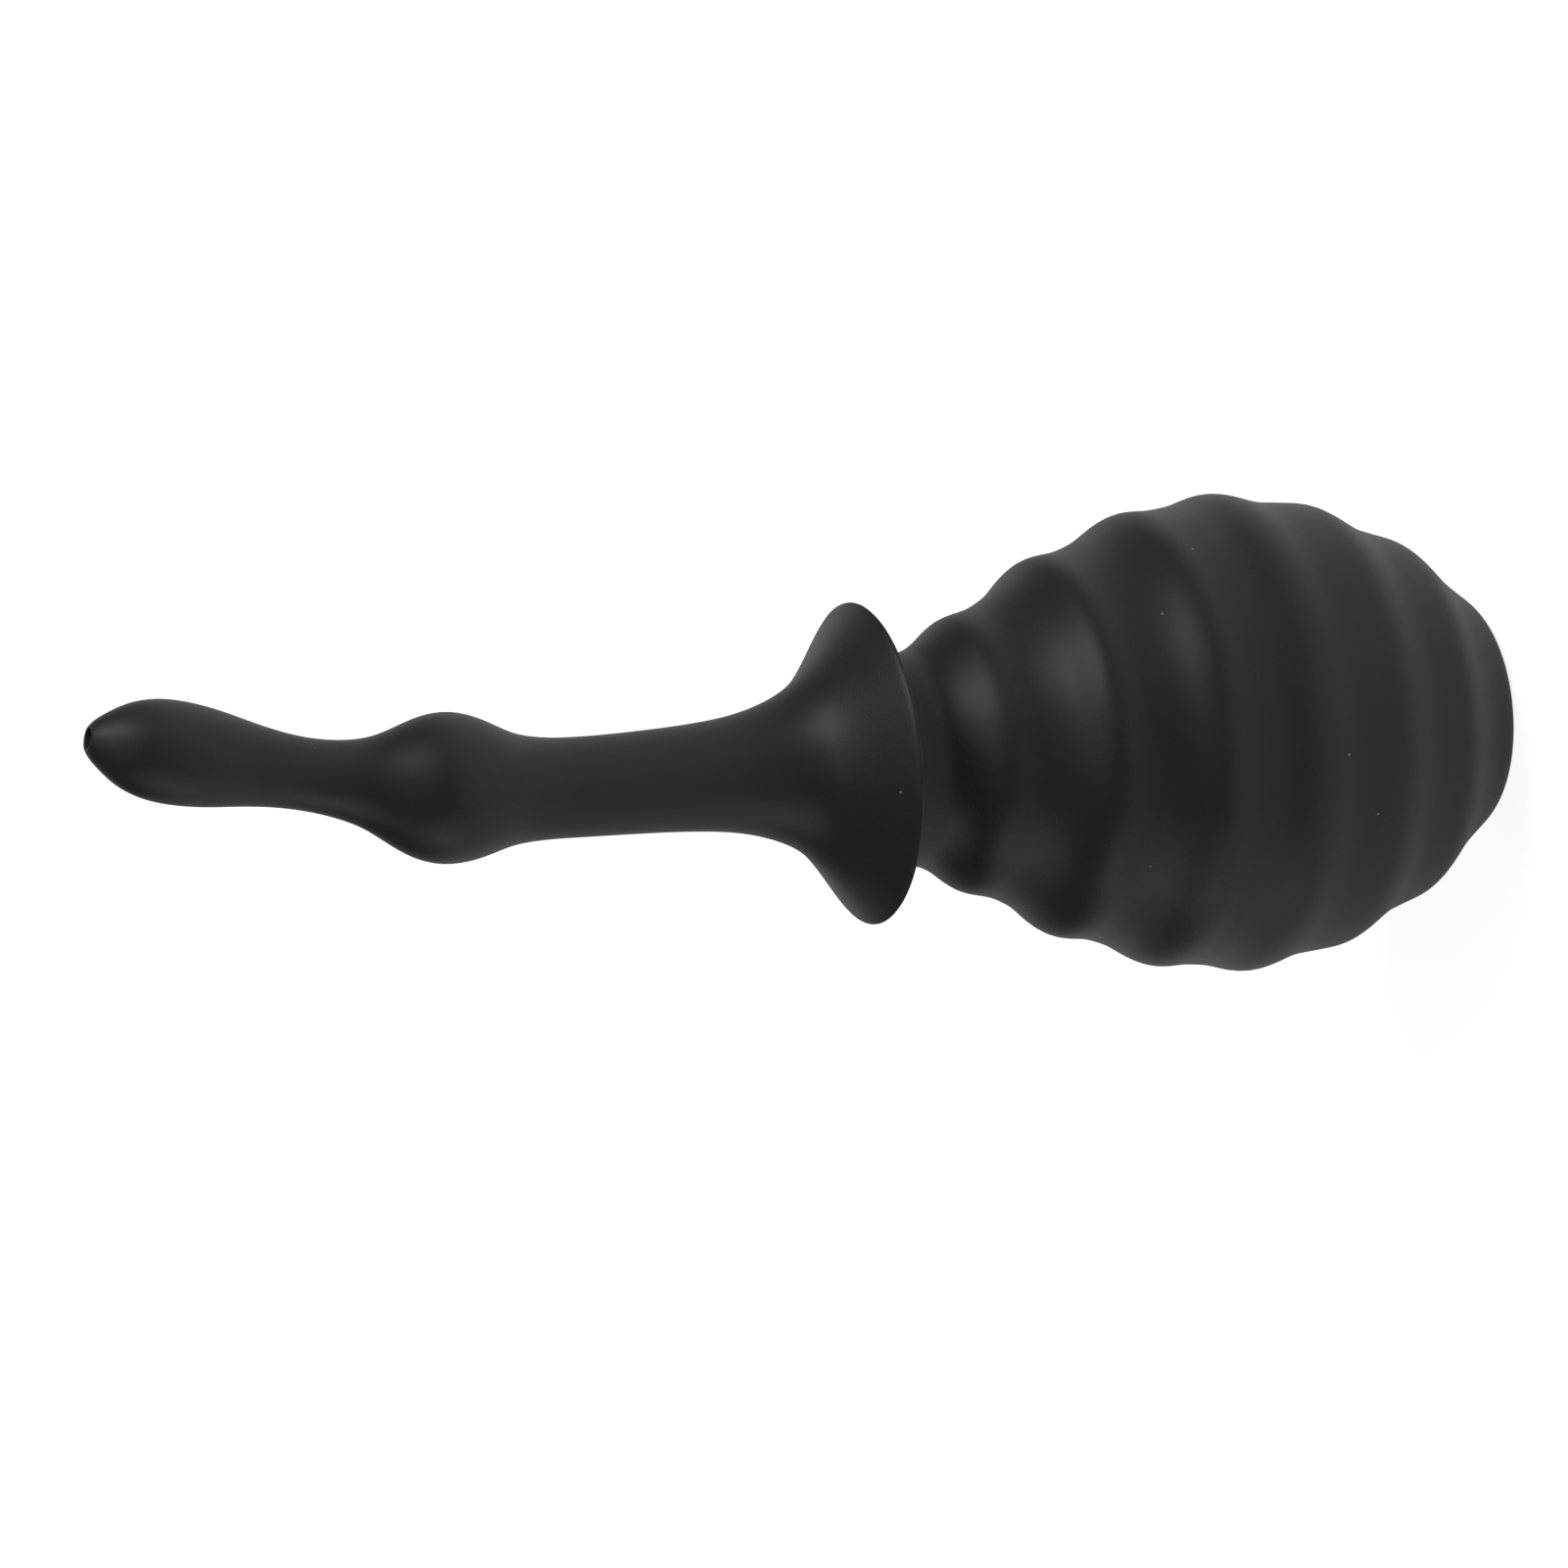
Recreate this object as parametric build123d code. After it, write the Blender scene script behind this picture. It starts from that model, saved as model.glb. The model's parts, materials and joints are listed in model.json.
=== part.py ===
from build123d import *
from math import cos, radians, sin
import os

# A hand squeeze bulb with rounded ribs and a curved nozzle that pulls out of its neck.
# It stands on its base: the origin is the centre of the flat base, +Z runs up the axis to the
# nozzle, and the nozzle's tip bends towards +X. Sizes are in millimetres.

# Bulb: the ribs are a smooth wave from the edge of the flat base to the foot of the neck
WALL = 2.5
BASE_FLAT_RADIUS = 14.2
NECK_RADIUS = 16.4
NECK_START = 97.8
NECK_LENGTH = 4.9
SHELF_DEPTH = 12.2
# The wave's points: (radius, height) up each rib's flank, over its crest and down to the groove
RIB_POINTS = (
    (18.0, 1.8),
    (20.4, 4.8),
    (22.9, 7.8),
    (27.8, 12.8),
    (29.3, 16.8),
    (30.8, 20.8),
    (34.4, 26.7),
    (35.0, 30.8),
    (35.5, 35.8),
    (37.3, 42.3),
    (35.9, 47.8),
    (35.3, 52.8),
    (35.2, 57.3),
    (32.0, 62.8),
    (30.1, 68.0),
    (29.3, 73.0),
    (25.2, 77.8),
    (22.5, 82.8),
    (21.2, 87.8),
    (18.2, 91.8),
    (16.7, 94.8),
)
BASE_SMOOTHNESS = 1.0
NECK_SMOOTHNESS = 0.5
WALL_SECTIONS = 80

# Bush: the rigid lining of the soft neck
BUSH_RADIUS = 12.5
BUSH_COLLAR_WIDTH = 1.5
BUSH_COLLAR_HEIGHT = 2.0
BUSH_LENGTH = 18.0

# Connector: the rigid tube between the bush and the nozzle
SPIGOT_RADIUS = 9.0
SPIGOT_LENGTH = 12.0
COLLAR_WIDTH = 2.0
COLLAR_HEIGHT = 2.0
STEM_RADIUS = 5.8
STEM_FOOT = 1.5
BARB_RADIUS = 6.6
BARB_PITCH = 4.2
BARB_COUNT = 3
CONNECTOR_BORE_RADIUS = 4.0
LEAD_IN = 0.6

# Seal ring, round in section
SEAL_RADIUS = 1.0
SEAL_DEPTH = 5.3

# Nozzle: the trumpet's points are (radius, height above the flange's back)
FLANGE_RADIUS = 24.6
RIM_HEIGHT = 0.8
RIM_SLOPE = (-1.24, 1)
TRUMPET_POINTS = ((19.2, 4.7), (13.7, 9.6), (10.0, 17.0), (8.3, 27.3))
SHAFT_RADIUS = 7.7
SHAFT_LENGTH = 41.1
BEND_RADIUS = 220.0
BEND_ANGLE = 13.5
# Outline of the bent end: (distance along the centreline from the start of the bend, radius)
BENT_OUTLINE = (
    (0.0, SHAFT_RADIUS),
    (8.3, 7.65),
    (16.6, 8.6),
    (21.7, 10.65),
    (26.9, 11.6),
    (32.0, 10.5),
    (38.2, 7.3),
    (48.4, 5.5),
    (58.6, 6.4),
    (69.8, 7.85),
    (77.9, 6.3),
    (83.3, 2.15),
)
BENT_TIP_SLOPE = (1, -1.8)
BENT_SECTIONS = 32
CHANNEL_RADIUS = 2.5
CHANNEL_FUNNEL = 3.0
OUTLET_RADIUS = 1.5
OUTLET_LENGTH = 5.0

# Clearances
SLIDING_GAP = 0.05
BARB_GAP = 0.1
SOFT_GAP = 0.3

# Sizes and heights that follow from the sizes above
BUSH_COLLAR_RADIUS = BUSH_RADIUS + BUSH_COLLAR_WIDTH
COLLAR_RADIUS = SPIGOT_RADIUS + COLLAR_WIDTH
NECK_TOP = NECK_START + NECK_LENGTH
NECK_SHELF = NECK_TOP - SHELF_DEPTH
COLLAR_TOP = NECK_TOP + COLLAR_HEIGHT
CONNECTOR_TOP = COLLAR_TOP + STEM_FOOT + BARB_COUNT * BARB_PITCH
FLANGE_BACK = NECK_TOP + SOFT_GAP
BEND_START = FLANGE_BACK + SHAFT_LENGTH
NOZZLE_REACH = BENT_OUTLINE[-1][0]


def turned(lines):
    """Revolve a closed outline, drawn as (radius, height), about the axis."""
    return revolve(Plane.XZ * make_face(lines), Axis.Z)


def cylinder(radius, bottom, top):
    """A cylinder on the axis between two heights."""
    return turned(Polyline((0, bottom), (radius, bottom), (radius, top), (0, top), close=True))


def make_bulb():
    """The ribbed silicone shell, open at the neck."""
    base_edge, neck_foot = (BASE_FLAT_RADIUS, 0), (NECK_RADIUS, NECK_START)
    ends = {"tangents": ((1, 0), (0, 1)), "tangent_scalars": (BASE_SMOOTHNESS, NECK_SMOOTHNESS)}
    wave = Spline(base_edge, *RIB_POINTS, neck_foot, **ends)
    neck = Polyline(neck_foot, (NECK_RADIUS, NECK_TOP), (0, NECK_TOP), (0, 0), base_edge)
    shell = turned(wave + neck)

    inner_points = []
    for section in range(WALL_SECTIONS + 1):
        along = section / WALL_SECTIONS
        direction = wave % along
        inner_points.append(wave @ along + WALL * Vector(-direction.Y, direction.X))
    inside = Spline(*inner_points)
    top, bottom = inside @ 1, inside @ 0
    cavity = turned(inside + Polyline(top, (0, top.Y), (0, bottom.Y), bottom))
    widest = max(radius for radius, height in RIB_POINTS)
    cavity &= cylinder(widest, 0, NECK_SHELF)
    return shell - cavity - cylinder(BUSH_RADIUS, NECK_SHELF - WALL, NECK_TOP)


def make_neck_bush():
    """The plastic bush: a tube with a collar under the shelf inside the bulb."""
    radius = BUSH_RADIUS - SLIDING_GAP
    bottom = NECK_TOP - BUSH_LENGTH
    collar_top = NECK_SHELF - SOFT_GAP
    tube = cylinder(radius, bottom, NECK_TOP)
    collar = cylinder(BUSH_COLLAR_RADIUS, collar_top - BUSH_COLLAR_HEIGHT, collar_top)
    bush = tube + collar - cylinder(SPIGOT_RADIUS + SLIDING_GAP, bottom, NECK_TOP)
    top_edges = bush.edges().group_by(Axis.Z)[-1]
    return chamfer(top_edges.sort_by(SortBy.RADIUS)[0], LEAD_IN)


def barbed_stem(gap):
    """The stem with its barbs above the collar, grown by a gap where it cuts the nozzle."""
    points = [(0, NECK_TOP), (COLLAR_RADIUS + gap, NECK_TOP), (COLLAR_RADIUS + gap, COLLAR_TOP + gap)]
    points += [(STEM_RADIUS + gap, COLLAR_TOP + gap)]
    for barb in range(BARB_COUNT):
        step = COLLAR_TOP + STEM_FOOT + barb * BARB_PITCH - gap
        points += [(STEM_RADIUS + gap, step), (BARB_RADIUS + gap, step)]
    points += [(STEM_RADIUS + gap, CONNECTOR_TOP + gap), (0, CONNECTOR_TOP + gap)]
    return turned(Polyline(*points, close=True))


def make_connector():
    """The plastic tube that carries the nozzle and slides into the bush."""
    bottom = NECK_TOP - SPIGOT_LENGTH
    groove_radius = SPIGOT_RADIUS - 2 * SEAL_RADIUS
    groove_middle = NECK_TOP - SEAL_DEPTH
    groove_half = SEAL_RADIUS + 2 * SLIDING_GAP
    groove = cylinder(SPIGOT_RADIUS + WALL, groove_middle - groove_half, groove_middle + groove_half)
    groove -= cylinder(groove_radius, groove_middle - groove_half, groove_middle + groove_half)
    spigot = cylinder(SPIGOT_RADIUS, bottom, NECK_TOP)
    spigot = chamfer(spigot.edges().group_by(Axis.Z)[0], LEAD_IN)
    body = spigot + barbed_stem(0) - groove
    return body - cylinder(CONNECTOR_BORE_RADIUS, bottom, CONNECTOR_TOP)


def make_o_ring():
    """The seal ring, in the connector's groove."""
    ring_radius = SPIGOT_RADIUS - SEAL_RADIUS
    section = Pos(ring_radius, NECK_TOP - SEAL_DEPTH) * Circle(SEAL_RADIUS - SLIDING_GAP / 2)
    return revolve(Plane.XZ * section, Axis.Z)


def centreline(distance):
    """The plane square to the nozzle's centreline, a distance past the start of the bend."""
    along = min(distance, BEND_RADIUS * radians(BEND_ANGLE))
    turn = along / BEND_RADIUS
    straight = distance - along
    x = BEND_RADIUS * (1 - cos(turn)) + straight * sin(turn)
    z = BEND_START + BEND_RADIUS * sin(turn) + straight * cos(turn)
    return Plane(origin=(x, 0, z), x_dir=(0, 1, 0), z_dir=(sin(turn), 0, cos(turn)))


def make_channel():
    """The air way: up the shaft, round the bend and out of the tip."""
    socket_top = CONNECTOR_TOP + BARB_GAP
    bend_end = BEND_RADIUS * radians(BEND_ANGLE)
    outlet_start = NOZZLE_REACH - OUTLET_LENGTH
    foot = Line((0, 0, socket_top), (0, 0, BEND_START))
    bend = ThreePointArc(foot @ 1, centreline(bend_end / 2).origin, centreline(bend_end).origin)
    end = Line(bend @ 1, centreline(outlet_start).origin)
    channel = sweep(Plane(foot @ 0) * Circle(CHANNEL_RADIUS), path=foot + bend + end)
    outlet = extrude(centreline(outlet_start) * Circle(OUTLET_RADIUS), 2 * OUTLET_LENGTH)
    low, high = (0, socket_top), (0, socket_top + CHANNEL_FUNNEL)
    mouth, throat = (CONNECTOR_BORE_RADIUS, low[1]), (CHANNEL_RADIUS, high[1])
    funnel = turned(Polyline(low, mouth, throat, high, close=True))
    return channel + outlet + funnel


def make_nozzle():
    """The soft nozzle: flange, trumpet, shaft, bead, waist and bent tip, with its socket."""
    rim_front = (FLANGE_RADIUS, FLANGE_BACK + RIM_HEIGHT)
    points = [(radius, FLANGE_BACK + height) for radius, height in TRUMPET_POINTS]
    shaft_end = (SHAFT_RADIUS, BEND_START)
    trumpet = Spline(rim_front, *points, shaft_end, tangents=(RIM_SLOPE, (0, 1)))
    back = Polyline(shaft_end, (0, BEND_START), (0, FLANGE_BACK), (FLANGE_RADIUS, FLANGE_BACK), rim_front)
    foot = turned(trumpet + back)
    outline = Spline(*BENT_OUTLINE, tangents=((1, 0), BENT_TIP_SLOPE))
    stations = [outline @ (step / BENT_SECTIONS) for step in range(BENT_SECTIONS + 1)]
    bent_end = loft([centreline(station.X) * Circle(station.Y) for station in stations])
    return foot + bent_end - barbed_stem(BARB_GAP) - make_channel()


MAKERS = {
    "bulb": make_bulb,
    "neck_bush": make_neck_bush,
    "connector": make_connector,
    "o_ring": make_o_ring,
    "nozzle": make_nozzle,
}

os.makedirs("parts", exist_ok=True)
for name, make in MAKERS.items():
    export_step(make(), f"parts/{name}.step")
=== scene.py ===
import json
from math import cos, hypot, pi, radians, sin, sqrt

import bpy
from mathutils import Matrix, Vector


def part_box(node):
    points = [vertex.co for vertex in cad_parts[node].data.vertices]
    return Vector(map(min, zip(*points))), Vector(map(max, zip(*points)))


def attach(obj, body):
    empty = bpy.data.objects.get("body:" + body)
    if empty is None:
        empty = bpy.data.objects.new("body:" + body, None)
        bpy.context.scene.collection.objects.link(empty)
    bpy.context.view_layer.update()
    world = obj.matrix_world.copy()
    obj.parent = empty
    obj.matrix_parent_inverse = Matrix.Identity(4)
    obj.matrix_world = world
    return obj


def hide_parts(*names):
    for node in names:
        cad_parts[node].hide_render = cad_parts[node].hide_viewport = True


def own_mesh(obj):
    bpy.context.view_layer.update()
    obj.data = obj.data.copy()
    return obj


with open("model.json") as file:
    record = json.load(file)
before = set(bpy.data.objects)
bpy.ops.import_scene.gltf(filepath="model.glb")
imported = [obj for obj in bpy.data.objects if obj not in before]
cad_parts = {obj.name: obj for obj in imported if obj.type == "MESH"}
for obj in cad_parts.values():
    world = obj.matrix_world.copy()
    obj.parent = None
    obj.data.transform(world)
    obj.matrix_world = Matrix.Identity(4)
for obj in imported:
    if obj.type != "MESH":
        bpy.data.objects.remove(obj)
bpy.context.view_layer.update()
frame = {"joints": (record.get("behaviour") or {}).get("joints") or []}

# ---------------------------------------------------------------------------------------------
# Bulb: a hollow squeeze bulb in soft black silicone, moulded in one piece with seven rounded
# ribs, a flat base to stand on and a short plain neck.
# ---------------------------------------------------------------------------------------------

BULB_SIDES = 128
BULB_WALL = 0.0025
BASE_FLAT_RADIUS = 0.0142
BASE_DISC_RADIUS = 0.7 * BASE_FLAT_RADIUS
NECK_RADIUS = 0.0164
NECK_START = 0.0978
NECK_BORE_RADIUS = 0.0125
NECK_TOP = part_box("bulb")[1].z
SHELF_DEPTH = 0.0122
NECK_SHELF = NECK_TOP - SHELF_DEPTH
EDGE = 0.0004
CURVE_STEPS = 3
# The rib wave, from the edge of the flat base to the foot of the neck: (radius, height)
RIB_POINTS = (
    (BASE_FLAT_RADIUS, 0.0), (0.0161, 0.0005), (0.0180, 0.0018), (0.0204, 0.0048), (0.0229, 0.0078),
    (0.0278, 0.0128), (0.0293, 0.0168), (0.0308, 0.0208), (0.0344, 0.0267), (0.0350, 0.0308),
    (0.0355, 0.0358), (0.0373, 0.0423), (0.0359, 0.0478), (0.0353, 0.0528), (0.0352, 0.0573),
    (0.0320, 0.0628), (0.0301, 0.0680), (0.0293, 0.0730), (0.0252, 0.0778), (0.0225, 0.0828),
    (0.0212, 0.0878), (0.0182, 0.0918), (0.0167, 0.0948), (NECK_RADIUS, NECK_START),
)


def smooth_curve(points, steps):
    """Points of a smooth curve through the given ones (a centripetal Catmull-Rom spline)."""
    points = [Vector(point) for point in points]
    ends = [2 * points[0] - points[1], *points, 2 * points[-1] - points[-2]]
    curve = [points[0]]
    for before, start, end, after in zip(ends, ends[1:], ends[2:], ends[3:]):
        gaps = [sqrt((b - a).length) for a, b in ((before, start), (start, end), (end, after))]
        enter = (start - before) / gaps[0] - (end - before) / (gaps[0] + gaps[1]) + (end - start) / gaps[1]
        leave = (end - start) / gaps[1] - (after - start) / (gaps[1] + gaps[2]) + (after - end) / gaps[2]
        for step in range(1, steps + 1):
            t = step / steps
            curve.append((2 * t**3 - 3 * t**2 + 1) * start + (3 * t**2 - 2 * t**3) * end
                         + gaps[1] * ((t**3 - 2 * t**2 + t) * enter + (t**3 - t**2) * leave))
    return curve


def inset(curve, wall):
    """The curve moved sideways, to the left of its direction, by the wall."""
    moved = []
    for index, point in enumerate(curve):
        run = (curve[min(index + 1, len(curve) - 1)] - curve[max(index - 1, 0)]).normalized()
        moved.append(point + wall * Vector((-run.y, run.x)))
    return moved


def raise_disc(name, sides, rings):
    """Add a disc at the first ring and extrude its face through the rest.

    A ring is (radius, centre x, centre z, tilt about Y)."""
    bpy.ops.object.select_all(action="DESELECT")
    radius, x, z = rings[0][:3]
    bpy.ops.mesh.primitive_circle_add(vertices=sides, radius=radius, fill_type="NGON", location=(x, 0, z))
    piece = bpy.context.object
    piece.name = piece.data.name = name
    bpy.ops.object.mode_set(mode="EDIT")
    bpy.ops.mesh.select_all(action="SELECT")
    for before, after in zip(rings, rings[1:]):
        step = (after[1] - before[1], 0, after[2] - before[2])
        centre = (after[1], 0, after[2])
        size = after[0] / before[0]
        bpy.ops.mesh.extrude_region_move(TRANSFORM_OT_translate={"value": step})
        if after[3] != before[3]:
            bpy.ops.transform.rotate(value=before[3] - after[3], orient_axis="Y", center_override=centre)
        bpy.ops.transform.resize(value=(size, size, size), center_override=centre)
    return piece


def close_loop(sides):
    """Take away the first and the last disc, which lie on each other, and join their edges."""
    bpy.ops.mesh.select_all(action="DESELECT")
    bpy.ops.mesh.select_face_by_sides(number=sides, type="EQUAL")
    bpy.ops.mesh.delete(type="ONLY_FACE")
    bpy.ops.mesh.select_all(action="SELECT")
    bpy.ops.mesh.remove_doubles(threshold=1e-6)


def finish_shape(piece, levels):
    """Point the faces outwards, smooth them, and set the piece's origin at the frame's."""
    bpy.ops.mesh.select_all(action="SELECT")
    bpy.ops.mesh.normals_make_consistent(inside=False)
    bpy.ops.object.mode_set(mode="OBJECT")
    bpy.ops.object.transform_apply(location=True, rotation=True, scale=True)
    if levels:
        soften = piece.modifiers.new("soften", "SUBSURF")
        soften.levels = soften.render_levels = levels
        bpy.ops.object.modifier_apply(modifier=soften.name)
    bpy.ops.object.shade_smooth()


def upright(outline):
    """Rings about the frame's axis from (radius, height) points."""
    return [(radius, 0, height, 0) for radius, height in outline]


rib_wave = smooth_curve(RIB_POINTS, CURVE_STEPS)
cavity_wave = [point for point in inset(rib_wave, BULB_WALL) if point.y < NECK_SHELF - 0.0005]
bulb_outline = [(BASE_DISC_RADIUS, 0), *rib_wave, (NECK_RADIUS, NECK_START + 0.0015)]
bulb_outline += [(NECK_RADIUS, NECK_TOP - 2 * EDGE), (NECK_RADIUS - 0.3 * EDGE, NECK_TOP - 0.6 * EDGE)]
bulb_outline += [(NECK_RADIUS - EDGE, NECK_TOP), (NECK_BORE_RADIUS + EDGE, NECK_TOP)]
bulb_outline += [(NECK_BORE_RADIUS, NECK_TOP - EDGE), (NECK_BORE_RADIUS, NECK_SHELF + EDGE)]
bulb_outline += [(NECK_BORE_RADIUS + EDGE, NECK_SHELF), (cavity_wave[-1].x, NECK_SHELF)]
bulb_outline += [*reversed(cavity_wave), (BASE_DISC_RADIUS, BULB_WALL)]
ribbed_bulb = raise_disc("ribbed_bulb", BULB_SIDES, upright(bulb_outline))
finish_shape(ribbed_bulb, 1)


class Wire:
    """A shader socket: arithmetic on it adds Math nodes, and node() adds any other node."""

    def __init__(self, socket):
        self.socket = socket

    def node(self, kind, inputs, settings=(), output=0):
        added = self.socket.id_data.nodes.new(kind)
        for setting, value in dict(settings).items():
            setattr(added, setting, value)
        for name, value in inputs.items():
            if isinstance(value, Wire):
                self.socket.id_data.links.new(value.socket, added.inputs[name])
            else:
                added.inputs[name].default_value = value
        return Wire(added.outputs[output])

    def math(self, operation, first, second=0.0):
        return self.node("ShaderNodeMath", {0: first, 1: second}, {"operation": operation})

    def __add__(self, other):
        return self.math("ADD", self, other)

    __radd__ = __add__

    def __mul__(self, other):
        return self.math("MULTIPLY", self, other)

    __rmul__ = __mul__

    def __gt__(self, other):
        return self.math("GREATER_THAN", self, other)

    def __lt__(self, other):
        return self.math("LESS_THAN", self, other)


def new_finish(name, **constants):
    """A material with its constant sockets set, its shader, and its Object coordinates."""
    material = bpy.data.materials.new(name)
    material.use_nodes = True
    nodes = material.node_tree.nodes
    shader = nodes["Principled BSDF"]
    for socket, value in constants.items():
        shader.inputs[socket.replace("_", " ")].default_value = value
    place = Wire(nodes.new("ShaderNodeTexCoord").outputs["Object"])
    return material, shader, place


def link(value, shader, socket):
    shader.id_data.links.new(value.socket, shader.inputs[socket])


def noise(place, scale, detail=2.0, roughness=0.5):
    return place.node("ShaderNodeTexNoise", {"Vector": place, "Scale": scale, "Detail": detail,
                                             "Roughness": roughness})


def mix_colour(amount, first, second):
    return amount.node("ShaderNodeMix", {0: amount, 6: first, 7: second}, {"data_type": "RGBA"}, output=2)


def silicone(name, black, grey, cloudiness, dust_share):
    """Matt black silicone: fine mould grain, faint cloudy bloom, and dust that clings to it."""
    material, shader, place = new_finish(name, IOR=1.43, Specular_IOR_Level=0.5, Sheen_Weight=0.12,
                                         Sheen_Roughness=0.45)
    cloud = noise(place, 38, 3)
    smear = noise(place, 190, 2)
    grain = noise(place, 2600, 2)
    cells = {"Vector": place, "Scale": 210, "Randomness": 1.0}
    specks = place.node("ShaderNodeTexVoronoi", cells)
    chosen = place.node("ShaderNodeTexVoronoi", cells, output=1)
    pick = chosen.node("ShaderNodeSeparateColor", {0: chosen}, output=0)
    dust = (specks < 0.035 + 0.03 * grain) * (pick > 1 - dust_share)
    bloom = cloud * cloudiness + smear * (0.25 * cloudiness)
    rubber = mix_colour(bloom, black, grey)
    link(mix_colour(dust * 0.6, rubber, (0.42, 0.41, 0.39, 1)), shader, "Base Color")
    link(0.40 + cloud * 0.09 + smear * 0.05 + dust * 0.4, shader, "Roughness")
    relief = grain * 0.5 + smear * 0.5 + dust * 0.8
    bump = place.node("ShaderNodeBump", {"Height": relief, "Strength": 0.35, "Distance": 0.00012})
    link(bump, shader, "Normal")
    return material


bulb_silicone = silicone("bulb_silicone", (0.018, 0.0175, 0.018, 1), (0.045, 0.044, 0.045, 1), 0.55, 0.10)
ribbed_bulb.data.materials.append(bulb_silicone)
squeeze_travel = next(-joint["range_m"][0] for joint in frame["joints"] if joint["name"] == "bulb_squeeze")
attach(ribbed_bulb, "bulb")
1 - squeeze_travel / NECK_TOP
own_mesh(ribbed_bulb)
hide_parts("bulb")

# ---------------------------------------------------------------------------------------------
# Neck bush: a rigid black plastic tube that lines the soft neck, so that the connector has a
# round bore to slide in. It is pushed up from inside the bulb until its collar meets the shelf.
# ---------------------------------------------------------------------------------------------

SMALL_SIDES = 96
BUSH_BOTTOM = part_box("neck_bush")[0].z
BUSH_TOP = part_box("neck_bush")[1].z
SLIDING_GAP = 0.00005
BUSH_RADIUS = NECK_BORE_RADIUS - SLIDING_GAP
BUSH_BORE_RADIUS = 0.00905
BUSH_COLLAR_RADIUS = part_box("neck_bush")[1].x
SOFT_GAP = 0.0003
BUSH_COLLAR_TOP = NECK_SHELF - SOFT_GAP
BUSH_COLLAR_HEIGHT = 0.0020
CHAMFER = 0.0003
LEAD_IN = 0.0006
CRISP = 0.0001


def chamfered(corners):
    """Give each corner of a closed (radius, height, chamfer) outline its two chamfer points."""
    outline = []
    for index, (radius, height, cut) in enumerate(corners):
        for other in (corners[index - 1], corners[(index + 1) % len(corners)]):
            run = (other[0] - radius, other[1] - height)
            length = hypot(*run)
            outline.append((radius + run[0] / length * cut, height + run[1] / length * cut))
    return outline


def turned_piece(name, corners):
    """A rigid turned piece with a bore, from its closed outline of corners."""
    outline = chamfered(corners)
    piece = raise_disc(name, SMALL_SIDES, upright(outline + outline[:1]))
    close_loop(SMALL_SIDES)
    finish_shape(piece, 0)
    bpy.ops.object.shade_smooth_by_angle(angle=radians(25))
    return piece


bush_corners = [
    (BUSH_BORE_RADIUS, BUSH_BOTTOM, CHAMFER),
    (BUSH_RADIUS, BUSH_BOTTOM, LEAD_IN),
    (BUSH_RADIUS, BUSH_COLLAR_TOP - BUSH_COLLAR_HEIGHT, CRISP),
    (BUSH_COLLAR_RADIUS, BUSH_COLLAR_TOP - BUSH_COLLAR_HEIGHT, CHAMFER),
    (BUSH_COLLAR_RADIUS, BUSH_COLLAR_TOP, CHAMFER),
    (BUSH_RADIUS, BUSH_COLLAR_TOP, CRISP),
    (BUSH_RADIUS, BUSH_TOP, CHAMFER),
    (BUSH_BORE_RADIUS, BUSH_TOP, LEAD_IN),
]
lining_bush = turned_piece("lining_bush", bush_corners)


def hard_plastic(name, black, grey):
    """Rigid black plastic: satin, with faint turning lines and flow marks from the mould."""
    material, shader, place = new_finish(name, IOR=1.5, Specular_IOR_Level=0.5)
    flow = noise(place, 60, 3)
    grain = noise(place, 3000, 1)
    height = place.node("ShaderNodeSeparateXYZ", {0: place}, output=2)
    phase = height * 9000 + flow * 2
    lines = phase.math("SINE", phase)
    link(mix_colour(flow * 0.5, black, grey), shader, "Base Color")
    link(0.28 + flow * 0.12 + grain * 0.05, shader, "Roughness")
    relief = lines * 0.2 + grain * 0.5
    link(place.node("ShaderNodeBump", {"Height": relief, "Strength": 0.25, "Distance": 0.00003}),
         shader, "Normal")
    return material


fitting_plastic = hard_plastic("fitting_plastic", (0.012, 0.012, 0.013, 1), (0.03, 0.03, 0.032, 1))
lining_bush.data.materials.append(fitting_plastic)
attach(lining_bush, "neck")
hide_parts("neck_bush")

# ---------------------------------------------------------------------------------------------
# Connector: a rigid black plastic tube. Its barbs hold it in the nozzle's foot, its collar
# sits on the bush, and its smooth spigot slides into the bush with the seal ring in its groove.
# ---------------------------------------------------------------------------------------------

CONNECTOR_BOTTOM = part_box("connector")[0].z
CONNECTOR_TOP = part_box("connector")[1].z
CONNECTOR_BORE_RADIUS = 0.0040
SPIGOT_RADIUS = 0.0090
COLLAR_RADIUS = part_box("connector")[1].x
COLLAR_HEIGHT = 0.0020
COLLAR_TOP = BUSH_TOP + COLLAR_HEIGHT
STEM_RADIUS = 0.0058
BARB_RADIUS = 0.0066
BARB_PITCH = 0.0042
BARB_COUNT = 3
SEAL_GROOVE_RADIUS = 0.0070
SEAL_HEIGHT = (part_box("o_ring")[0].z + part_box("o_ring")[1].z) / 2
SEAL_GROOVE_HALF = 0.0011
FIRST_BARB = CONNECTOR_TOP - BARB_COUNT * BARB_PITCH

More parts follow.
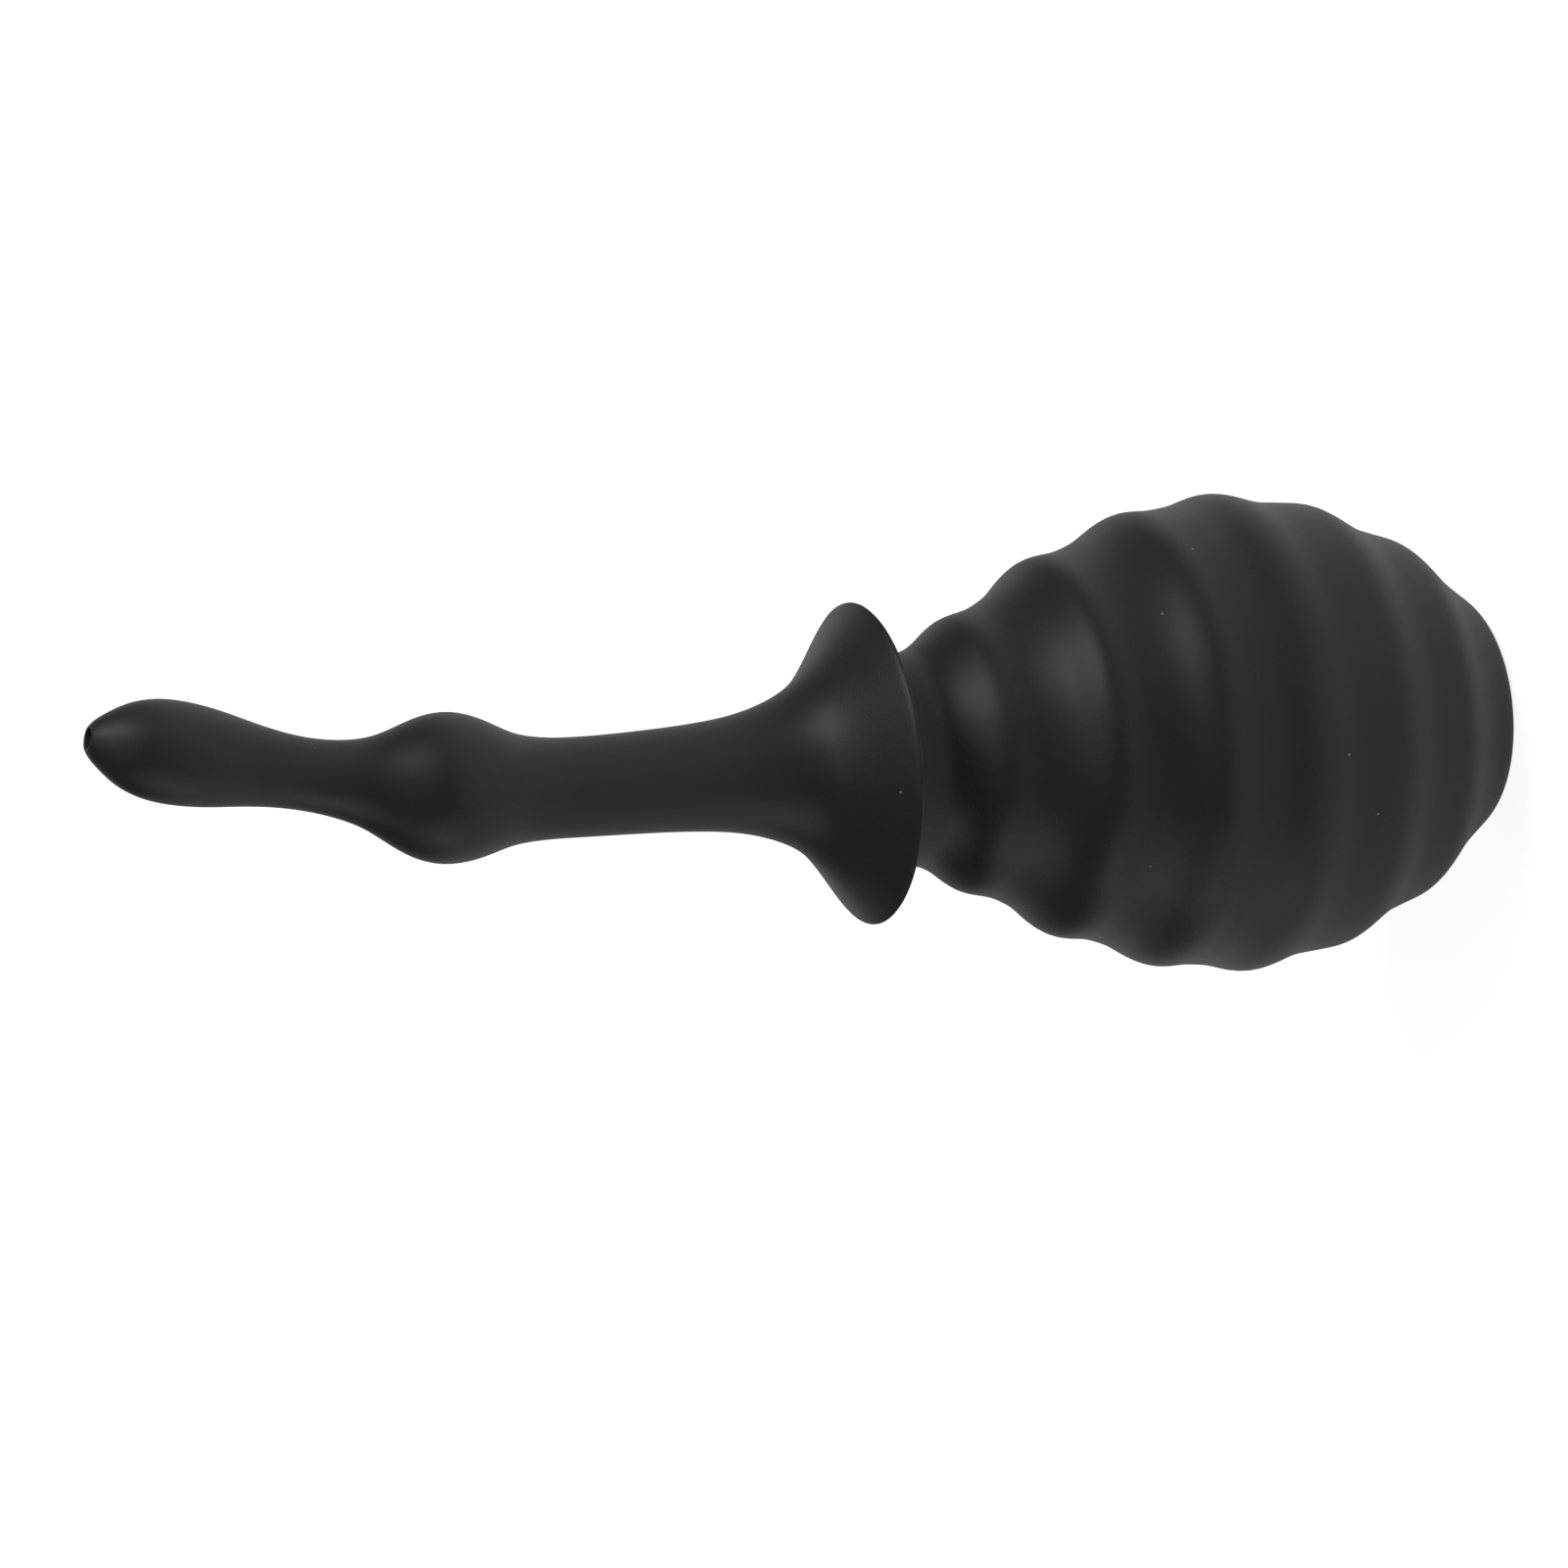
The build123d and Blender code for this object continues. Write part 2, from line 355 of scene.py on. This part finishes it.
connector_corners = [
    (CONNECTOR_BORE_RADIUS, CONNECTOR_BOTTOM, CHAMFER),
    (SPIGOT_RADIUS, CONNECTOR_BOTTOM, LEAD_IN),
    (SPIGOT_RADIUS, SEAL_HEIGHT - SEAL_GROOVE_HALF, CRISP),
    (SEAL_GROOVE_RADIUS, SEAL_HEIGHT - SEAL_GROOVE_HALF, CRISP),
    (SEAL_GROOVE_RADIUS, SEAL_HEIGHT + SEAL_GROOVE_HALF, CRISP),
    (SPIGOT_RADIUS, SEAL_HEIGHT + SEAL_GROOVE_HALF, CRISP),
    (SPIGOT_RADIUS, BUSH_TOP, CRISP),
    (COLLAR_RADIUS, BUSH_TOP, CHAMFER),
    (COLLAR_RADIUS, COLLAR_TOP, CHAMFER),
    (STEM_RADIUS, COLLAR_TOP, CRISP),
]
for barb in range(BARB_COUNT):
    step_height = FIRST_BARB + barb * BARB_PITCH
    connector_corners += [(STEM_RADIUS, step_height, CRISP), (BARB_RADIUS, step_height, CRISP)]
connector_corners += [(STEM_RADIUS, CONNECTOR_TOP, CRISP), (CONNECTOR_BORE_RADIUS, CONNECTOR_TOP, CHAMFER)]
barbed_connector = turned_piece("barbed_connector", connector_corners)
barbed_connector.data.materials.append(fitting_plastic)
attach(barbed_connector, "connector")
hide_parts("connector")

# ---------------------------------------------------------------------------------------------
# Seal ring: a soft ring, round in section with a faint flash line round its outside, stretched
# into the connector's groove. It drags in the bush and keeps the air in.
# ---------------------------------------------------------------------------------------------

SEAL_SECTION_RADIUS = (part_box("o_ring")[1].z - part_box("o_ring")[0].z) / 2
SEAL_RING_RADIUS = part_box("o_ring")[1].x - SEAL_SECTION_RADIUS
SEAL_STEPS = 20
FLASH = 0.00003

seal_outline = []
for step in range(SEAL_STEPS + 1):
    turn = 2 * pi * step / SEAL_STEPS + pi
    reach = SEAL_SECTION_RADIUS - (0 if step == SEAL_STEPS // 2 else FLASH)
    seal_outline.append((SEAL_RING_RADIUS + reach * cos(turn), SEAL_HEIGHT - reach * sin(turn)))
seal_ring = raise_disc("seal_ring", SMALL_SIDES, upright(seal_outline))
close_loop(SMALL_SIDES)
finish_shape(seal_ring, 0)
seal_silicone = silicone("seal_silicone", (0.03, 0.03, 0.031, 1), (0.06, 0.06, 0.06, 1), 0.5, 0.0)
seal_ring.data.materials.append(seal_silicone)
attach(seal_ring, "connector")
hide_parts("o_ring")

# ---------------------------------------------------------------------------------------------
# Nozzle: moulded in soft black silicone over a core pin. A round flange flares into a slim
# shaft, which bends through a bead and a waist to a rounded tip with the air outlet. The mould
# closed along the back edge of the flange and left a thin line of flash there.
# ---------------------------------------------------------------------------------------------

NOZZLE_SIDES = 128
FLANGE_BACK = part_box("nozzle")[0].z
SHAFT_LENGTH = 0.0411
BEND_START = FLANGE_BACK + SHAFT_LENGTH
BEND_RADIUS = 0.220
BEND_ANGLE = radians(13.5)
# The flange's thin rim, with the mould's parting line round it: (radius, height above the back)
RIM_OUTLINE = (
    (0.0238, 0.0), (0.0243, 0.00004), (0.0245, 0.00018), (0.02454, 0.00034), (0.02456, 0.00040),
    (0.02475, 0.00044), (0.02475, 0.00052), (0.02456, 0.00056), (0.0245, 0.00064), (0.0243, 0.00092),
)
# The trumpet and the shaft, on from the rim: (radius, height above the flange's back)
TRUMPET_POINTS = (
    (0.0240, 0.0012), (0.0219, 0.0028), (0.0192, 0.0048), (0.0163, 0.0071), (0.0137, 0.0096),
    (0.0117, 0.0128), (0.0100, 0.0172), (0.0089, 0.0220), (0.0083, 0.0273), (0.0079, 0.0340),
)
# The bent end: (distance along the centreline from the start of the bend, radius)
BENT_POINTS = (
    (0.0, 0.0077), (0.0083, 0.00765), (0.0125, 0.0079), (0.0166, 0.0086), (0.0217, 0.01065),
    (0.0269, 0.0116), (0.0320, 0.0105), (0.0382, 0.0073), (0.0430, 0.0060), (0.0484, 0.0055),
    (0.0535, 0.0057), (0.0586, 0.0064), (0.0642, 0.0074), (0.0698, 0.00785), (0.0742, 0.0075),
    (0.0779, 0.0063), (0.0808, 0.0045), (0.0826, 0.0031), (0.0834, 0.0022), (0.0836, 0.0018),
    (0.0834, 0.0015),
)
CHANNEL_RADIUS = 0.0025
CHANNEL_STEPS = 16
CHANNEL_FUNNEL = 0.003
OUTLET_RADIUS = 0.0015
OUTLET_START = 0.0785
OUTLET_TAPER = 0.001
BARB_GAP = 0.0001


def along_nozzle(distance, radius):
    """A ring square to the nozzle's centreline, a distance past the start of the bend."""
    along = min(max(distance, 0), BEND_RADIUS * BEND_ANGLE)
    straight = distance - along
    turn = along / BEND_RADIUS
    x = BEND_RADIUS * (1 - cos(turn)) + straight * sin(turn)
    z = BEND_START + BEND_RADIUS * sin(turn) + straight * cos(turn)
    return (radius, x, z, turn)


socket_top = CONNECTOR_TOP + BARB_GAP
socket_radius = STEM_RADIUS + BARB_GAP
pocket_radius = COLLAR_RADIUS + BARB_GAP
socket_outline = [(CONNECTOR_BORE_RADIUS, socket_top), (socket_radius, socket_top)]
for barb in reversed(range(BARB_COUNT)):
    step_height = FIRST_BARB + barb * BARB_PITCH - BARB_GAP
    socket_outline += [(BARB_RADIUS + BARB_GAP, step_height), (socket_radius, step_height)]
socket_outline += [(socket_radius, COLLAR_TOP + BARB_GAP), (pocket_radius, COLLAR_TOP + BARB_GAP)]

nozzle_rings = upright([(pocket_radius, FLANGE_BACK)])
flange_outline = [*RIM_OUTLINE, *smooth_curve(TRUMPET_POINTS, 3)]
nozzle_rings += upright([(radius, FLANGE_BACK + height) for radius, height in flange_outline])
nozzle_rings += [along_nozzle(distance, radius) for distance, radius in smooth_curve(BENT_POINTS, 2)]
nozzle_rings.append(along_nozzle(OUTLET_START, OUTLET_RADIUS))
for step in range(CHANNEL_STEPS + 1):
    share = step / CHANNEL_STEPS
    nozzle_rings.append(along_nozzle((OUTLET_START - OUTLET_TAPER) * (1 - share), CHANNEL_RADIUS))
nozzle_rings += upright([(CHANNEL_RADIUS, socket_top + CHANNEL_FUNNEL), *socket_outline])
nozzle_rings += nozzle_rings[:1]
curved_nozzle = raise_disc("curved_nozzle", NOZZLE_SIDES, nozzle_rings)
close_loop(NOZZLE_SIDES)
finish_shape(curved_nozzle, 1)
nozzle_silicone = silicone("nozzle_silicone", (0.020, 0.0195, 0.020, 1), (0.05, 0.049, 0.05, 1), 0.5, 0.12)
curved_nozzle.data.materials.append(nozzle_silicone)
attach(curved_nozzle, "nozzle")
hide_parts("nozzle")

# ---------------------------------------------------------------------------------------------
# Studio: a bright floor over a dimmer sheet, a key softbox on the side that the nozzle bends to,
# three fainter panels, and a long-lens camera laid on its side, so that the bulb's axis is level.
# ---------------------------------------------------------------------------------------------

FLOOR_SIZE = 30
FLOOR_GLOW = 0.9
BOUNCE_SIZE = 4
BOUNCE_GLOW = 0.22
SHEET_GAP = 0.0002


def lit_plane(name, size, height, glow):
    """A level sheet of pale paper that glows, so that it stays white round the object."""
    bpy.ops.object.select_all(action="DESELECT")
    bpy.ops.mesh.primitive_plane_add(size=size, location=(0, 0, height))
    sheet = bpy.context.object
    sheet.name = name
    paper, shader, place = new_finish(name + "_paper", Specular_IOR_Level=0.1, Emission_Color=(1, 1, 1, 1),
                                      Emission_Strength=glow)
    fibres = noise(place, 400, 2)
    link(mix_colour(fibres, (0.86, 0.86, 0.86, 1), (0.88, 0.88, 0.88, 1)), shader, "Base Color")
    link(0.85 + fibres * 0.1, shader, "Roughness")
    sheet.data.materials.append(paper)
    return sheet


# The camera sees the bright floor, and the object sees only the dimmer sheet under it
floor = lit_plane("floor", FLOOR_SIZE, -SHEET_GAP, FLOOR_GLOW)
floor.visible_diffuse = False
floor.visible_glossy = False
floor.visible_shadow = False
bounce_sheet = lit_plane("bounce_sheet", BOUNCE_SIZE, -3 * SHEET_GAP, BOUNCE_GLOW)
bounce_sheet.visible_camera = False

world = bpy.data.worlds.new("studio")
bpy.context.scene.world = world
world.use_nodes = True
backdrop = world.node_tree.nodes["Background"]
backdrop.inputs["Color"].default_value = (1, 1, 1, 1)
backdrop.inputs["Strength"].default_value = FLOOR_GLOW
world.cycles_visibility.diffuse = False
world.cycles_visibility.glossy = False

BULB_MIDDLE = Vector((0, 0, 0.0449))


def softbox(name, direction, distance, width, height, power):
    """An area light that faces the object from a direction."""
    light = bpy.data.lights.new(name, "AREA")
    light.shape = "RECTANGLE"
    light.size, light.size_y = width, height
    light.energy = power
    lamp = bpy.data.objects.new(name, light)
    bpy.context.scene.collection.objects.link(lamp)
    out = Vector(direction).normalized()
    lamp.location = BULB_MIDDLE + out * distance
    lamp.rotation_euler = out.to_track_quat("Z", "Y").to_euler()


softbox("key_softbox", (0.62, -0.30, 0.72), 1.3, 0.7, 0.7, 6.5)
softbox("tip_panel", (0.05, -0.45, 0.90), 1.6, 0.8, 0.8, 1.5)
softbox("fill_panel", (-0.93, -0.15, 0.12), 1.6, 1.2, 1.2, 5)
softbox("back_panel", (0.10, 0.98, 0.15), 1.8, 1.8, 1.4, 6)

VIEW_TILT = radians(21.2)
VIEW_ROLL = radians(4.9)
VIEW_DISTANCE = 1.52
VIEW_WIDTH = 0.2434
VIEW_ACROSS = 0.0662
VIEW_ALONG_UP = 0.0078
SENSOR_WIDTH = 36
toward = Vector((0, -cos(VIEW_TILT), sin(VIEW_TILT)))
down_axis = Vector((0, -sin(VIEW_TILT), -cos(VIEW_TILT)))
side = Vector((1, 0, 0))
right = cos(VIEW_ROLL) * down_axis - sin(VIEW_ROLL) * side
up = sin(VIEW_ROLL) * down_axis + cos(VIEW_ROLL) * side
camera = bpy.data.objects.new("camera", bpy.data.cameras.new("camera"))
bpy.context.scene.collection.objects.link(camera)
camera.data.sensor_width = SENSOR_WIDTH
camera.data.lens = SENSOR_WIDTH * VIEW_DISTANCE / VIEW_WIDTH
camera.data.clip_end = 100
eye = BULB_MIDDLE - VIEW_ACROSS * right - VIEW_ALONG_UP * up + VIEW_DISTANCE * toward
camera.matrix_world = Matrix.Translation(eye) @ Matrix((right, up, toward)).transposed().to_4x4()
bpy.context.scene.camera = camera
bpy.context.scene.view_settings.view_transform = "Standard"
